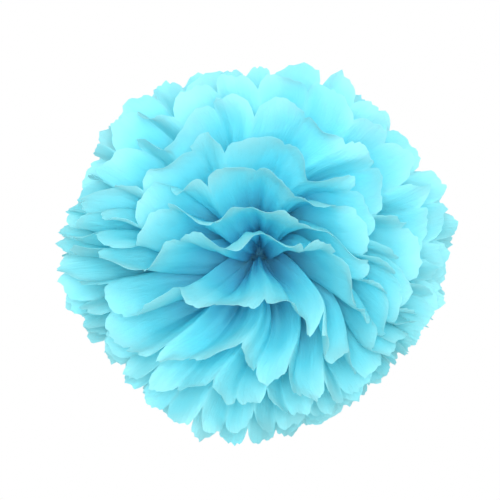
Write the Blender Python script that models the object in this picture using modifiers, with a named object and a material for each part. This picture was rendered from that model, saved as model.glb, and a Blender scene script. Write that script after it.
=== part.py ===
"""Tissue paper pom pom, in metres, +Z up.

Twelve tissue sheets are stacked, accordion pleated together, rounded at both ends, bound at the
waist with a twisted wire, fanned out, and pulled apart one by one into a ball. The pleats run up and
down (Z), the gathered waist lies along X, and the two crowns, where the outermost sheets part, face
the front (-Y) and the back (+Y). The origin is the middle of the waist, inside the wire.
"""

import math

import bmesh
import bpy

# The flat sheet
sheet_length = 0.25
sheet_width = 0.375
panel_count = 14
scallop_depth = 0.0105
paper_thickness = 0.00025

# The gathered waist
sheet_gap = 0.00055
waist_width = 0.0075
hinge_length = 0.015
crush_length = 0.034

# The fluffed ball
fan_half_angle = math.radians(80)
crown_arch = math.radians(13)
layer_sway = math.radians(2)
pleat_wander = math.radians(1.1)
widest_swing = math.radians(32)
layer_stagger = math.radians(1.3)
rim_ease = 0.25
crown_ease = 0.6
tip_curl = 0.0045
side_roll = math.radians(18)
press_start = 0.008
press_length = 0.08
roll_lean = 0.6
crown_twist = math.radians(8)
side_yaw = math.radians(12)
squash = 0.012
crumple = 0.0045
crumple_length = 0.105

# How far each sheet's upper and lower wing is pulled from the front crown, in degrees
wing_lifts = (
    (0, 9),
    (9, 26),
    (18, 46),
    (34, 60),
    (53, 74),
    (74, 89),
    (96, 105),
    (116, 120),
    (134, 135),
    (149, 149),
    (162, 161),
    (174, 172),
)

# The binding wire
wire_diameter = 0.0009
wire_clearance = 0.00035
wire_corner_radius = 0.001
pigtail_length = 0.0135
twist_pitch = 0.0085

# Values that follow from the sizes above
sheet_count = len(wing_lifts)
half_length = sheet_length / 2
panel_width = sheet_width / panel_count
sheet_pitch = paper_thickness + sheet_gap
waist_radius = 0.52 * sheet_count * sheet_pitch
reach = half_length - waist_radius
fan_angle = min(fan_half_angle, 0.98 * sheet_width / sheet_length)

# Where a wing's rows of vertices lie, as shares of its reach. The last row is the cut edge.
row_shares = (0.0, 0.12, 0.32, 0.62, 1.0)


def clear_scene():
    for old in list(bpy.data.objects):
        bpy.data.objects.remove(old, do_unlink=True)


def wave(*turns):
    """A smooth irregular value from -1 to 1: three sines that never fall into step."""
    total = sum(turns)
    return (math.sin(total) + 0.7 * math.sin(1.73 * total + 1.1) + 0.5 * math.sin(2.61 * total + 4.0)) / 2.2


def lift_angle(sheet, wing, fan):
    """The angle about X at which a wing leaves the waist: 0 is the front crown, 180 degrees the back."""
    lift = math.radians(wing_lifts[sheet][0 if wing > 0 else 1])
    sway = layer_sway * wave(1.3 * sheet, 5.1 * wing, 2.1 * fan)
    arch = crown_arch * math.cos(2 * fan) * (1 + math.cos(lift)) / 2
    return wing * (lift + sway) + arch


def fan_direction(sheet, wing, across):
    """The direction of a line of paper within its wing, from -fan_angle to fan_angle."""
    even = 2 * across / sheet_width - 1
    wander = pleat_wander * wave(9.0 * even) + layer_stagger * wave(1.9 * sheet, 3.3 * wing, 2.0 * even)
    return fan_angle * even + wander * (1 - even * even)


def pleat_swing(run, rise):
    """How far the creases swing about the hinge line, each way: the panels keep their width, and the
    wire crushes them near it."""
    opened = min(2 * fan_angle * run / panel_count, panel_width)
    depth = 0.5 * math.sqrt(panel_width**2 - opened**2) * (1 - rim_ease * (run / reach) ** 2)
    grown = min(rise / crush_length, 1.0)
    return widest_swing * math.tanh(depth / (widest_swing * max(rise, 1e-6))) * grown**2 * (3 - 2 * grown)


def stack_depth(sheet):
    """How far a sheet lies behind the middle of the stack at the waist."""
    return (sheet + 0.5 - sheet_count / 2) * sheet_pitch


def waist_rise(sheet):
    """Half the height of a sheet's upright part: the bundle is round, so the outer sheets bend first."""
    return math.sqrt(waist_radius**2 - stack_depth(sheet) ** 2)


def hinged(sheet, wing, lift, rise):
    """A wing's line in the YZ plane, as a distance from X and an angle about it, after rise of paper:
    it starts on the bundle's round side and turns to its lift within the hinge's length."""
    start_angle = wing * math.acos(-stack_depth(sheet) / waist_radius)
    share = min(rise / hinge_length, 1.0)
    angle = start_angle + (lift - start_angle) * share * share * (3 - 2 * share)
    return waist_radius + rise, angle


def eased(distance):
    """How far the ball gives way to pressing at a distance from its waist: 0 within, 1 beyond."""
    share = min(max((distance - press_start) / press_length, 0.0), 1.0)
    return share * share * (3 - 2 * share)


def pressed(x, y, z):
    """The ball pressed out of true: its right side comes forward and rolls down, its crowns are
    twisted about Y, the whole is squashed a little, and its petals are crumpled in long waves."""
    radius = math.hypot(x, y, z)
    yaw = side_yaw * eased(radius) * x * x / max(radius * radius, 1e-12)
    x, y = x * math.cos(yaw) + y * math.sin(yaw), y * math.cos(yaw) - x * math.sin(yaw)
    out = math.hypot(x, z)
    roll = side_roll * eased(out) * (1.2 + roll_lean * x / max(out, 1e-6)) + crown_twist * y / half_length
    x, z = x * math.cos(roll) + z * math.sin(roll), z * math.cos(roll) - x * math.sin(roll)
    fluffed = min(radius * radius / half_length**2, 1.0)
    cycle = math.tau / crumple_length
    return (
        x * (1 + squash * fluffed) + crumple * fluffed * math.sin(cycle * (z + 0.6 * y)),
        y + crumple * fluffed * math.sin(cycle * (0.9 * x + 0.5 * z) + 4.0),
        z * (1 - squash * fluffed) + crumple * fluffed * math.sin(cycle * (0.8 * x - 0.7 * y) + 4.8),
    )


def place(sheet, across, along):
    """Where a point of the flat sheet ends up in the ball."""
    wing = 1 if along > 0 else -1
    run = max(abs(along) - waist_rise(sheet), 0.0)
    panels = panel_count * across / sheet_width
    fold = 1 - 2 * abs(math.fmod(panels, 2.0) - 1)
    fan = fan_direction(sheet, wing, across)
    rise = run * math.cos(fan)
    lift = lift_angle(sheet, wing, fan)
    lift += pleat_swing(run, rise) * (1 - crown_ease * math.cos(lift) ** 2) * fold
    out, angle = hinged(sheet, wing, lift, rise)
    tip = math.cos(fan) * max(run / reach - 0.6, 0.0) ** 2 / 0.16
    push = tip_curl * wave(2.2 * panels, 1.3 * sheet, 4.0 * wing) * tip
    return pressed(
        (across / sheet_width - 0.5) * waist_width + run * math.sin(fan),
        push * math.sin(angle) - out * math.cos(angle),
        push * math.cos(angle) + out * math.sin(angle),
    )


def rounded_end(across):
    """The wing's length at across: the folded strip's ends are cut round, so each panel ends in a lobe."""
    within = math.fmod(panel_count * across / sheet_width, 1.0)
    return half_length - scallop_depth * (1 - math.sqrt(max(1 - (2 * within - 1) ** 2, 0.0)))


def flat_sheet(bm, sheet):
    """The flat, cut sheet: a grid whose cut ends have three more vertices in each panel."""
    rows = len(row_shares)
    start = waist_rise(sheet)
    bmesh.ops.create_grid(bm, x_segments=panel_count, y_segments=2 * rows - 1, size=1)
    for vertex in bm.verts:
        row = round((vertex.co.y + 1) / 2 * (2 * rows - 1)) - rows
        wing, step = (1, row) if row >= 0 else (-1, -1 - row)
        vertex.co = (
            (vertex.co.x + 1) / 2 * sheet_width,
            wing * (start + row_shares[step] * (half_length - start)),
            0,
        )
    ends = [edge for edge in bm.edges if min(abs(vertex.co.y) for vertex in edge.verts) > half_length - 1e-6]
    bmesh.ops.subdivide_edges(bm, edges=ends, cuts=3)
    bmesh.ops.triangulate(bm, faces=bm.faces)
    for vertex in bm.verts:
        if abs(vertex.co.y) > half_length - 1e-6:
            vertex.co.y = math.copysign(rounded_end(vertex.co.x), vertex.co.y)


def tissue(name, colour):
    material = bpy.data.materials.new(name)
    material.use_nodes = True
    shader = material.node_tree.nodes["Principled BSDF"]
    shader.inputs["Base Color"].default_value = (*colour, 1)
    shader.inputs["Roughness"].default_value = 0.85
    return material


def steel(name, colour):
    material = bpy.data.materials.new(name)
    material.use_nodes = True
    shader = material.node_tree.nodes["Principled BSDF"]
    shader.inputs["Base Color"].default_value = (*colour, 1)
    shader.inputs["Metallic"].default_value = 1.0
    shader.inputs["Roughness"].default_value = 0.35
    return material


def add_sheet(collection, sheet, material):
    name = f"tissue_sheet_{sheet + 1:02d}"
    mesh = bpy.data.meshes.new(name)
    bm = bmesh.new()
    flat_sheet(bm, sheet)
    for vertex in bm.verts:
        vertex.co = place(sheet, vertex.co.x, vertex.co.y)
    bmesh.ops.recalc_face_normals(bm, faces=bm.faces)
    bm.to_mesh(mesh)
    bm.free()
    paper = bpy.data.objects.new(name, mesh)
    paper.data.materials.append(material)
    collection.objects.link(paper)
    wall = paper.modifiers.new("paper thickness", "SOLIDIFY")
    wall.thickness = paper_thickness
    wall.offset = 0
    return paper


def wire_points():
    """The wire's centreline: in along one strand of the twist, round the waist, and out by the other."""
    around_x = waist_width / 2 + wire_clearance + wire_diameter / 2
    around_y = sheet_count * sheet_pitch / 2 + wire_clearance + wire_diameter / 2
    strand_radius = (wire_diameter + wire_clearance) / 2
    twist_start = around_x + 2 * strand_radius
    steps = round(11 * pigtail_length / twist_pitch)

    def strand(side):
        for step in range(steps + 1):
            angle = math.tau * pigtail_length / twist_pitch * step / steps
            along = twist_start + pigtail_length * step / steps
            yield along, side * strand_radius * math.cos(angle), side * strand_radius * math.sin(angle)

    loop = []
    for corner_x, corner_y, first in ((1, 1, 0), (-1, 1, 90), (-1, -1, 180), (1, -1, 270)):
        for step in range(4):
            angle = math.radians(first + 30 * step)
            loop.append(
                (
                    corner_x * (around_x - wire_corner_radius) + wire_corner_radius * math.cos(angle),
                    corner_y * (around_y - wire_corner_radius) + wire_corner_radius * math.sin(angle),
                    0,
                )
            )
    return list(strand(1))[::-1] + loop + list(strand(-1))


def add_wire(collection, material):
    curve = bpy.data.curves.new("binding_wire", "CURVE")
    curve.dimensions = "3D"
    curve.bevel_depth = wire_diameter / 2
    curve.bevel_resolution = 1
    curve.use_fill_caps = True
    points = wire_points()
    spline = curve.splines.new("POLY")
    spline.points.add(len(points) - 1)
    for target, point in zip(spline.points, points):
        target.co = (*point, 1)
    wire = bpy.data.objects.new("binding_wire", curve)
    wire.data.materials.append(material)
    collection.objects.link(wire)
    return wire


def main():
    clear_scene()
    collection = bpy.data.collections.new("tissue_paper_pom_pom")
    bpy.context.scene.collection.children.link(collection)
    paper_blue = tissue("sky blue tissue", (0.13, 0.70, 0.85))
    for sheet in range(sheet_count):
        add_sheet(collection, sheet, paper_blue)
    add_wire(collection, steel("plain wire", (0.62, 0.63, 0.65)))


main()
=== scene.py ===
import math

import bpy
import numpy as np
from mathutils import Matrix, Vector


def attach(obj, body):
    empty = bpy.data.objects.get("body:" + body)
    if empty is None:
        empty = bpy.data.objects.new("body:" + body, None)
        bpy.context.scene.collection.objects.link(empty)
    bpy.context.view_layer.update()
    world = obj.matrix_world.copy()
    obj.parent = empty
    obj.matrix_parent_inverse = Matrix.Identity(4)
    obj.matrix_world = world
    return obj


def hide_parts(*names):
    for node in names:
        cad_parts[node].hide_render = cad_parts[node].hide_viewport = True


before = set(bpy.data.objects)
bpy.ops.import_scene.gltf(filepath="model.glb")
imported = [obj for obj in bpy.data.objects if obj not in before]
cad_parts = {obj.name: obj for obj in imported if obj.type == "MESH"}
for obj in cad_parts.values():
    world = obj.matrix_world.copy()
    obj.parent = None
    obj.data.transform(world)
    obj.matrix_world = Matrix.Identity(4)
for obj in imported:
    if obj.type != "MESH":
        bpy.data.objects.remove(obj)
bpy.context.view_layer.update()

# The tissue sheets: twelve rectangles of thin sky blue tissue, stacked and accordion pleated
# together, cut round at both ends, gathered by a wire at their middle, spread as fans, and pulled
# apart one by one. Each is a flat grid of paper that is cut, pleated, gathered, fanned and lifted.

# The flat sheet
sheet_length = 0.25
sheet_width = 0.375
panel_count = 14
paper_thickness = 0.00012
half_length = sheet_length / 2
panel_width = sheet_width / panel_count

# The cut ends. Each wave of the ragged cut has its depth, how fast it runs in a panel, and its
# shifts from sheet to sheet and from the upper wing to the lower one.
scallop_depth = 0.0105
lobe_unlikeness = 0.3
cut_trim = 0.0015
cut_start = 0.6
ragged_cuts = (
    (0.0021, 4.1, 1.7, 3.0),
    (0.0015, 13.0, 4.3, 1.0),
    (0.0009, 29.0, 2.9, 2.0),
)

# The gathered waist
stack_pitch = 0.0008
waist_width = 0.0075
hinge_length = 0.015
crush_length = 0.034

# The fans and their pleats
fan_angle = math.radians(80)
crown_arch = math.radians(13)
layer_sway = math.radians(2)
layer_stagger = math.radians(0.95)
pleat_wander = math.radians(1.1)
widest_swing = math.radians(32)
rim_ease = 0.05
crown_ease = 0.2
centre_ease = 0.45
centre_width = 0.22
crease_sharpness = 0.995
crease_softening = 0.035
crease_unevenness = 0.28

# How far each sheet's upper and lower wing is pulled from the front crown, in degrees
wing_lifts = (
    (0, 9),
    (9, 26),
    (18, 46),
    (34, 60),
    (53, 74),
    (74, 89),
    (96, 105),
    (116, 120),
    (134, 135),
    (149, 149),
    (162, 161),
    (174, 172),
)
waist_radius = 0.52 * len(wing_lifts) * stack_pitch
reach = half_length - waist_radius

# The paper between its creases, which is freer the farther it lies from the waist
flute_count = 2
flute_end = 1.5
most_fluted = 1.2
free_rise = 0.1
free_growth = 1.3
panel_bow = 0.0028
rim_wave = 0.0012
wrinkle_depth = 0.0009
curl_length = 0.020
curl_turn = 0.85
curl_lean = 0.15
least_curl = 1e-3

# The ball pressed out of true, with a shallow dent at the lower right
side_roll = math.radians(18)
press_start = 0.008
press_length = 0.08
roll_base = 1.2
roll_lean = 0.6
crown_twist = math.radians(8)
side_yaw = math.radians(12)
squash = 0.012
crumple = 0.0045
crumple_length = 0.105
dent_depth = 0.1
dent_width = math.radians(17)
dent_place = math.radians(-42)

# The mesh: columns across the pleats, and rows in each wing, which lie closer at the waist
columns = 14 * panel_count
wing_rows = 44
even_rows = 0.35
row_crowding = 1.4


def wave(total):
    """A smooth irregular value from -1 to 1: three sines that never fall into step. The plain
    numbers that it is called with set how fast it runs and shift it from sheet to sheet."""
    return (np.sin(total) + 0.7 * np.sin(1.73 * total + 1.1) + 0.5 * np.sin(2.61 * total + 4.0)) / 2.2


def ridge(total):
    """A wave of straight slopes that meet in sharp creases, from -1 to 1."""
    return np.arcsin(np.sin(total)) / (math.pi / 2)


def cut_round(sheet, across, along):
    """The flat sheet's ends are cut round while it is folded, so each panel ends in a lobe. The
    scissors chew the thin paper, so the lobes are uneven and their edges are a little ragged."""
    panels = panel_count * across / sheet_width
    wing = np.sign(along)
    lobe = 1 - np.sqrt(np.clip(1 - (2 * np.mod(panels, 1.0) - 1) ** 2, 0, None))
    uneven = 1 + lobe_unlikeness * wave(1.9 * panels + 2.0 * wing)
    ragged = sum(
        depth * wave(speed * panels + by_sheet * sheet + by_wing * wing)
        for depth, speed, by_sheet, by_wing in ragged_cuts
    )
    share = (np.abs(along) - cut_start * half_length) / ((1 - cut_start) * half_length)
    return along - wing * (scallop_depth * lobe * uneven + ragged + cut_trim) * np.clip(share, 0, 1)


def waist_rise(sheet):
    """Half the height of a sheet's upright part: the bundle is round, so outer sheets bend first."""
    depth = (sheet + 0.5 - len(wing_lifts) / 2) * stack_pitch
    return math.sqrt(waist_radius**2 - depth**2)


def hinged(sheet, wing, lift, rise):
    """A wing's line in the YZ plane, as a distance from X and an angle about it, after rise of
    paper: it starts on the bundle's round side and turns to its lift within the hinge's length."""
    start_angle = wing * math.acos((len(wing_lifts) / 2 - sheet - 0.5) * stack_pitch / waist_radius)
    share = np.minimum(rise / hinge_length, 1.0)
    angle = start_angle + (lift - start_angle) * share * share * (3 - 2 * share)
    return waist_radius + rise, angle


def eased(distance):
    """How far the ball gives way to pressing at a distance from its waist: 0 within, 1 beyond."""
    share = np.clip((distance - press_start) / press_length, 0, 1)
    return share * share * (3 - 2 * share)


def pressed(x, y, z):
    """The ball pressed out of true: its right side comes forward and rolls down, its crowns are
    twisted about Y, it is dented, the whole is squashed a little, and it is crumpled in long waves."""
    radius = np.sqrt(x * x + y * y + z * z)
    yaw = side_yaw * eased(radius) * x * x / np.maximum(radius * radius, 1e-12)
    x, y = x * np.cos(yaw) + y * np.sin(yaw), y * np.cos(yaw) - x * np.sin(yaw)
    out = np.hypot(x, z)
    roll = side_roll * eased(out) * (roll_base + roll_lean * x / np.maximum(out, 1e-6))
    roll = roll + crown_twist * y / half_length
    x, z = x * np.cos(roll) + z * np.sin(roll), z * np.cos(roll) - x * np.sin(roll)
    fluffed = np.minimum(radius * radius / half_length**2, 1)
    off = (np.arctan2(z, x) - dent_place) / dent_width
    dent = dent_depth * np.exp(-off * off) * fluffed
    kept = 1 - dent * (x * x + z * z) / np.maximum(radius * radius, 1e-12)
    x, y, z = x * kept, y * kept, z * kept
    cycle = math.tau / crumple_length
    return (
        x * (1 + squash * fluffed) + crumple * fluffed * np.sin(cycle * (z + 0.6 * y)),
        y + crumple * fluffed * np.sin(cycle * (0.9 * x + 0.5 * z) + 4.0),
        z * (1 - squash * fluffed) + crumple * fluffed * np.sin(cycle * (0.8 * x - 0.7 * y) + 4.8),
    )


def fan_direction(sheet, wing, even):
    """The direction of a line of paper within its wing, from -fan_angle to fan_angle."""
    wander = pleat_wander * wave(9.0 * even)
    wander = wander + layer_stagger * wave(1.9 * sheet + 3.3 * wing + 2.0 * even)
    return fan_angle * even + wander * (1 - even * even)


def lift_angle(sheet, wing, fan):
    """The angle about X at which a wing leaves the waist: 0 is the front crown, pi the back."""
    upper, lower = (math.radians(degrees) for degrees in wing_lifts[sheet])
    lift = np.where(wing > 0, upper, lower)
    sway = layer_sway * wave(1.3 * sheet + 5.1 * wing + 2.1 * fan)
    arch = crown_arch * np.cos(2 * fan) * (1 + np.cos(lift)) / 2
    return wing * (lift + sway) + arch


def pleat_swing(opened, rise, share, even, middle):
    """How far the creases swing about the hinge line, each way: the panels keep their width, the
    wire crushes them near it, and they lie flatter on the crowns and in the middle of a wing."""
    depth = 0.5 * np.sqrt(panel_width**2 - opened**2) * (1 - rim_ease * share**2)
    grown = np.clip(rise / crush_length, 0, 1)
    swing = widest_swing * np.tanh(depth / (widest_swing * np.maximum(rise, 1e-6)))
    swing = swing * grown**2 * (3 - 2 * grown)
    centred = np.exp(-((even / centre_width) ** 2)) * np.maximum(np.cos(middle), 0) ** 3
    return swing * (1 - crown_ease * np.cos(middle) ** 2 - centre_ease * centred)


def fold_side(sheet, wing, panels, panel, share):
    """Where a point lies on the way from one crease, at -1, to the next, at 1. The creases soften
    towards the rim, and no two of them are pressed equally deep."""
    crease = crease_sharpness - crease_softening * share
    fold = -np.arcsin(crease * np.cos(math.pi * panels)) / np.arcsin(crease)
    near, far = (wave(5.1 * (panel + side) + 2.3 * sheet + wing) for side in (0, 1))
    depth = near + (far - near) * np.mod(panels, 1.0)
    return fold * (1 + crease_unevenness * share**2 * depth)


def fluted(opened, swing, rise, share, within):
    """The paper's width that the pleats don't take up gathers in small flutes between creases."""
    taken = np.hypot(opened, 2 * swing * rise)
    spare = np.minimum(panel_width / np.maximum(taken, 1e-6) - 1, most_fluted)
    height = taken / flute_count / math.pi * np.sqrt(np.maximum(spare, 0)) * (1 - share**flute_end)
    return height * np.sin(math.tau * flute_count * within)


def placed(sheet, across, along):
    """Where the points of the cut flat sheet end up in the ball."""
    wing = np.where(along > 0, 1.0, -1.0)
    run = np.maximum(np.abs(along) - waist_rise(sheet), 0.0)
    share = run / reach
    even = 2 * across / sheet_width - 1
    panels = panel_count * across / sheet_width
    panel = np.floor(np.clip(panels, 0, panel_count - 1e-6))
    within = np.mod(panels, 1.0)

    fan = fan_direction(sheet, wing, even)
    rise = run * np.cos(fan)
    middle = lift_angle(sheet, wing, fan)
    opened = np.minimum(2 * fan_angle * run / panel_count, panel_width)
    swing = pleat_swing(opened, rise, share, even, middle)
    lift = middle + swing * fold_side(sheet, wing, panels, panel, share)
    out, angle = hinged(sheet, wing, lift, rise)

    # How far the paper stands off its pleats: flutes, bowed panels, a wavy rim, and wrinkles
    free = np.clip(rise / free_rise, 0, 1) ** free_growth
    push = fluted(opened, swing, rise, share, within)
    bow = wave(3.7 * panel + 2.9 * sheet + wing)
    push = push + panel_bow * bow * np.sin(math.pi * within) * share * free
    push = push + rim_wave * wave(31.0 * even + 2.2 * sheet + 4.0 * wing) * share**2 * free
    wrinkle = ridge(2.7 * panels + 5.0 * share + 2.0 * sheet)
    wrinkle = wrinkle + ridge(4.1 * panels - 9.0 * share + 3.1 * sheet)
    wrinkle = wrinkle + 0.7 * ridge(1.3 * panels + 17.0 * share + 1.9 * sheet + wing)
    push = push + wrinkle_depth * wrinkle * share * free

    # The lobes curl at their tips, and the curl takes up some of their run
    tip = np.clip(run - (reach - curl_length), 0, None) / curl_length
    curl = curl_turn * wave(2.2 * panels + 1.3 * sheet + 4.0 * wing) * free - curl_lean * wing * free
    curl = np.where(np.abs(curl) < least_curl, least_curl, curl)
    push = push + curl_length / curl * (1 - np.cos(curl * tip))
    run = run - curl_length * (tip - np.sin(curl * tip) / curl)
    out = out + run * np.cos(fan) - rise
    return pressed(
        (across / sheet_width - 0.5) * waist_width + run * np.sin(fan),
        push * np.sin(angle) - out * np.cos(angle),
        push * np.cos(angle) + out * np.sin(angle),
    )


# The paper: it throws back part of the light and lets the rest through
tissue = bpy.data.materials.new("sky blue tissue")
tissue.use_nodes = True
nodes = tissue.node_tree.nodes
links = tissue.node_tree.links
reflected = nodes["Principled BSDF"]
reflected.inputs["Roughness"].default_value = 0.75
reflected.inputs["Specular IOR Level"].default_value = 0.2
through = nodes.new("ShaderNodeBsdfTranslucent")
both = nodes.new("ShaderNodeMixShader")
both.inputs["Fac"].default_value = 0.6
links.new(reflected.outputs["BSDF"], both.inputs[1])
links.new(through.outputs["BSDF"], both.inputs[2])
links.new(both.outputs["Shader"], nodes["Material Output"].inputs["Surface"])


def colour_ramp(stops):
    """A colour ramp on the way from the waist, at 0, to the rim, at 1."""
    ramp = nodes.new("ShaderNodeValToRGB")
    ramp.color_ramp.elements.remove(ramp.color_ramp.elements[1])
    ramp.color_ramp.elements[0].position = stops[0][0]
    ramp.color_ramp.elements[0].color = (*stops[0][1], 1)
    for position, colour in stops[1:]:
        ramp.color_ramp.elements.new(position).color = (*colour, 1)
    return ramp


# The colour carries painted shade, deeper blue towards the waist where the pleats crowd, and painted
# light, paler towards the rim where single layers are lit through. A slow noise shifts the way to the
# rim to and fro, so it is cloudy.
chart_place = nodes.new("ShaderNodeUVMap")
chart_place.uv_map = "flat sheet"
chart_axes = nodes.new("ShaderNodeSeparateXYZ")
object_place = nodes.new("ShaderNodeTexCoord")
clouds = nodes.new("ShaderNodeTexNoise")
clouds.inputs["Scale"].default_value = 38
clouds.inputs["Detail"].default_value = 3
drift = nodes.new("ShaderNodeMapRange")
drift.inputs["From Min"].default_value = 0.3
drift.inputs["From Max"].default_value = 0.7
drift.inputs["To Min"].default_value = -0.10
drift.inputs["To Max"].default_value = 0.06
rimward = nodes.new("ShaderNodeMath")
rimward.operation = "ADD"
# Painted shade towards the waist and painted light at the rim, in the colour of the paper's face
face_colour_painted_shading = colour_ramp(
    [
        (0.1, (0.22, 0.74, 1.00)),
        (0.7, (0.26, 0.87, 0.96)),
        (1.0, (0.45, 0.89, 0.93)),
    ]
)
# The same painted shade and painted light, in the colour that the paper lets through
through_colour_painted_shading = colour_ramp(
    [
        (0.1, (0.54, 0.90, 1.00)),
        (0.7, (0.54, 0.95, 1.00)),
        (1.0, (0.72, 0.96, 0.98)),
    ]
)
links.new(chart_place.outputs["UV"], chart_axes.inputs["Vector"])
links.new(object_place.outputs["Object"], clouds.inputs["Vector"])
links.new(clouds.outputs["Fac"], drift.inputs["Value"])
links.new(chart_axes.outputs["Y"], rimward.inputs[0])
links.new(drift.outputs["Result"], rimward.inputs[1])
links.new(rimward.outputs["Value"], face_colour_painted_shading.inputs["Fac"])
links.new(rimward.outputs["Value"], through_colour_painted_shading.inputs["Fac"])
links.new(face_colour_painted_shading.outputs["Color"], reflected.inputs["Base Color"])
links.new(through_colour_painted_shading.outputs["Color"], through.inputs["Color"])

# The relief: fine wrinkles that run out from the waist, and the paper's own fibres
stretch = nodes.new("ShaderNodeMapping")
stretch.inputs["Scale"].default_value = (170, 9, 1)
wrinkles = nodes.new("ShaderNodeTexNoise")
wrinkles.inputs["Scale"].default_value = 1
wrinkles.inputs["Detail"].default_value = 3
wrinkles.inputs["Distortion"].default_value = 0.6
fibres = nodes.new("ShaderNodeTexNoise")
fibres.inputs["Scale"].default_value = 1100
fibres.inputs["Detail"].default_value = 2
weigh = nodes.new("ShaderNodeMix")
weigh.inputs["Factor"].default_value = 0.12
relief = nodes.new("ShaderNodeBump")
relief.inputs["Distance"].default_value = 0.0014
relief.inputs["Strength"].default_value = 0.45
links.new(chart_place.outputs["UV"], stretch.inputs["Vector"])
links.new(stretch.outputs["Vector"], wrinkles.inputs["Vector"])
links.new(object_place.outputs["Object"], fibres.inputs["Vector"])
links.new(wrinkles.outputs["Fac"], weigh.inputs["A"])
links.new(fibres.outputs["Fac"], weigh.inputs["B"])
links.new(weigh.outputs["Result"], relief.inputs["Height"])
links.new(relief.outputs["Normal"], reflected.inputs["Normal"])
links.new(relief.outputs["Normal"], through.inputs["Normal"])

for sheet in range(len(wing_lifts)):
    bpy.ops.object.select_all(action="DESELECT")
    bpy.ops.mesh.primitive_grid_add(x_subdivisions=columns, y_subdivisions=2 * wing_rows + 1, size=2)
    paper = bpy.context.object
    paper.name = paper.data.name = f"tissue_{sheet + 1:02d}"

    # The flat grid of paper, its rows counted from the waist, and a chart of it before it is cut
    count = len(paper.data.vertices)
    flat = np.empty(3 * count)
    paper.data.vertices.foreach_get("co", flat)
    flat = flat.reshape(count, 3)
    across = (flat[:, 0] + 1) / 2 * sheet_width
    row = np.round((flat[:, 1] + 1) / 2 * (2 * wing_rows + 1)) - wing_rows - 0.5
    step = (np.abs(row) - 0.5) / wing_rows
    start = waist_rise(sheet)
    row_share = even_rows * step + (1 - even_rows) * step**row_crowding
    along = np.sign(row) * (start + (half_length - start) * row_share)
    chart = np.stack((across / sheet_width, np.abs(along) / half_length), axis=1)
    corner = np.empty(len(paper.data.loops), dtype=np.int32)
    paper.data.loops.foreach_get("vertex_index", corner)
    layer = paper.data.uv_layers[0]
    layer.name = "flat sheet"
    layer.data.foreach_set("uv", chart[corner].astype(np.float32).ravel())

    # Cut, folded and fluffed, with the area of paper that the cut leaves
    along = cut_round(sheet, across, along)
    spot = np.stack(placed(sheet, across, along), axis=1)
    paper.data.vertices.foreach_set("co", spot.astype(np.float32).ravel())
    paper.data.update()
    wall = paper.modifiers.new("paper thickness", "SOLIDIFY")
    wall.thickness = paper_thickness
    wall.offset = 0
    bpy.ops.object.modifier_apply(modifier=wall.name)
    bpy.ops.object.shade_smooth_by_angle(angle=math.radians(40))
    paper.data.materials.append(tissue)
    node = f"tissue_sheet_{sheet + 1:02d}"
    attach(paper, "root")
    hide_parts(node)

# The binding wire: plain florist's wire, bent round the gathered waist and twisted tight at one
# side. It is the frame's own piece, with a drawn steel finish.
drawn_steel = bpy.data.materials.new("drawn steel")
drawn_steel.use_nodes = True
steel_nodes = drawn_steel.node_tree.nodes
steel_links = drawn_steel.node_tree.links
metal = steel_nodes["Principled BSDF"]
metal.inputs["Metallic"].default_value = 1.0
steel_place = steel_nodes.new("ShaderNodeTexCoord")
streaks = steel_nodes.new("ShaderNodeTexNoise")
streaks.inputs["Scale"].default_value = 900
shade = steel_nodes.new("ShaderNodeValToRGB")
shade.color_ramp.elements[0].color = (0.40, 0.41, 0.43, 1)
shade.color_ramp.elements[1].color = (0.72, 0.73, 0.75, 1)
worn = steel_nodes.new("ShaderNodeMapRange")
worn.inputs["To Min"].default_value = 0.25
worn.inputs["To Max"].default_value = 0.5
steel_links.new(steel_place.outputs["Object"], streaks.inputs["Vector"])
steel_links.new(streaks.outputs["Fac"], shade.inputs["Fac"])
steel_links.new(streaks.outputs["Fac"], worn.inputs["Value"])
steel_links.new(shade.outputs["Color"], metal.inputs["Base Color"])
steel_links.new(worn.outputs["Result"], metal.inputs["Roughness"])
wire = bpy.data.objects["binding_wire"]
wire.data.materials.clear()
wire.data.materials.append(drawn_steel)

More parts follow.
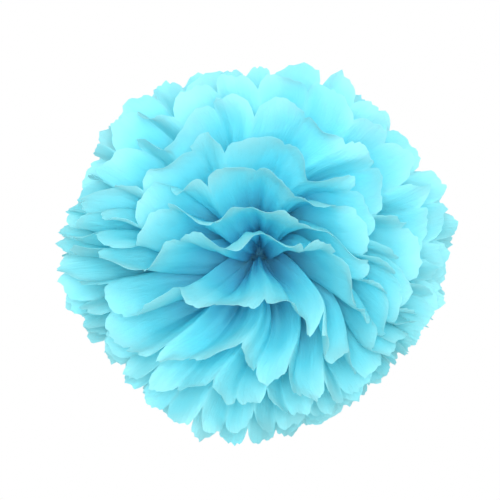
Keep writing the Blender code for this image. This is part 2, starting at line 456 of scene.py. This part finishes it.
# The floor: a plain pale surface far below the hanging ball, white to the camera.
bpy.ops.object.select_all(action="DESELECT")
bpy.ops.mesh.primitive_plane_add(size=12, location=(0, 0, -2.2))
floor = bpy.context.object
floor.name = "floor"
pale = bpy.data.materials.new("pale floor")
pale.use_nodes = True
floor_nodes = pale.node_tree.nodes
floor_links = pale.node_tree.links
ground = floor_nodes["Principled BSDF"]
ground.inputs["Base Color"].default_value = (0.8, 0.8, 0.8, 1)
ground.inputs["Roughness"].default_value = 0.9
glow = floor_nodes.new("ShaderNodeEmission")
seen = floor_nodes.new("ShaderNodeLightPath")
choice = floor_nodes.new("ShaderNodeMixShader")
floor_links.new(seen.outputs["Is Camera Ray"], choice.inputs["Fac"])
floor_links.new(ground.outputs["BSDF"], choice.inputs[1])
floor_links.new(glow.outputs["Emission"], choice.inputs[2])
floor_links.new(choice.outputs["Shader"], floor_nodes["Material Output"].inputs["Surface"])
floor.data.materials.append(pale)

# The world: a soft pale sky, white to the camera, with a soft lamp at the camera, one at the upper
# left, and two behind that light the thin petals through.
studio = bpy.data.worlds.new("studio")
bpy.context.scene.world = studio
studio.use_nodes = True
sky_nodes = studio.node_tree.nodes
sky_links = studio.node_tree.links
sky = sky_nodes["Background"]
sky.inputs["Color"].default_value = (1, 1, 1, 1)
sky.inputs["Strength"].default_value = 0.7
white = sky_nodes.new("ShaderNodeBackground")
white.inputs["Color"].default_value = (1, 1, 1, 1)
camera_ray = sky_nodes.new("ShaderNodeLightPath")
pick = sky_nodes.new("ShaderNodeMixShader")
sky_links.new(camera_ray.outputs["Is Camera Ray"], pick.inputs["Fac"])
sky_links.new(sky.outputs["Background"], pick.inputs[1])
sky_links.new(white.outputs["Background"], pick.inputs[2])
sky_links.new(pick.outputs["Shader"], sky_nodes["World Output"].inputs["Surface"])

for name, place, size, power in (
    ("key lamp", (-0.45, -1.35, 0.75), 0.8, 4.5),
    ("front lamp", (0.03, -1.3, 0.05), 0.4, 14),
    ("back lamp left", (-1.1, 1.0, 0.5), 0.9, 5),
    ("back lamp right", (1.1, 1.0, 0.5), 0.9, 5),
):
    bpy.ops.object.light_add(type="AREA", location=place)
    lamp = bpy.context.object
    lamp.name = name
    lamp.data.size = size
    lamp.data.energy = power
    lamp.rotation_euler = (-Vector(place)).to_track_quat("-Z", "Y").to_euler()

# The camera: level with the ball, looking straight at its front crown.
camera_distance = 0.95
view_width = 0.3255
bpy.ops.object.camera_add(location=(0.0, -camera_distance, 0.0), rotation=(math.pi / 2, 0, 0))
camera = bpy.context.object
camera.data.sensor_width = 36
camera.data.lens = camera.data.sensor_width * camera_distance / view_width
camera.data.shift_x = -0.018
camera.data.shift_y = 0.002
bpy.context.scene.camera = camera
bpy.context.scene.view_settings.view_transform = "Standard"
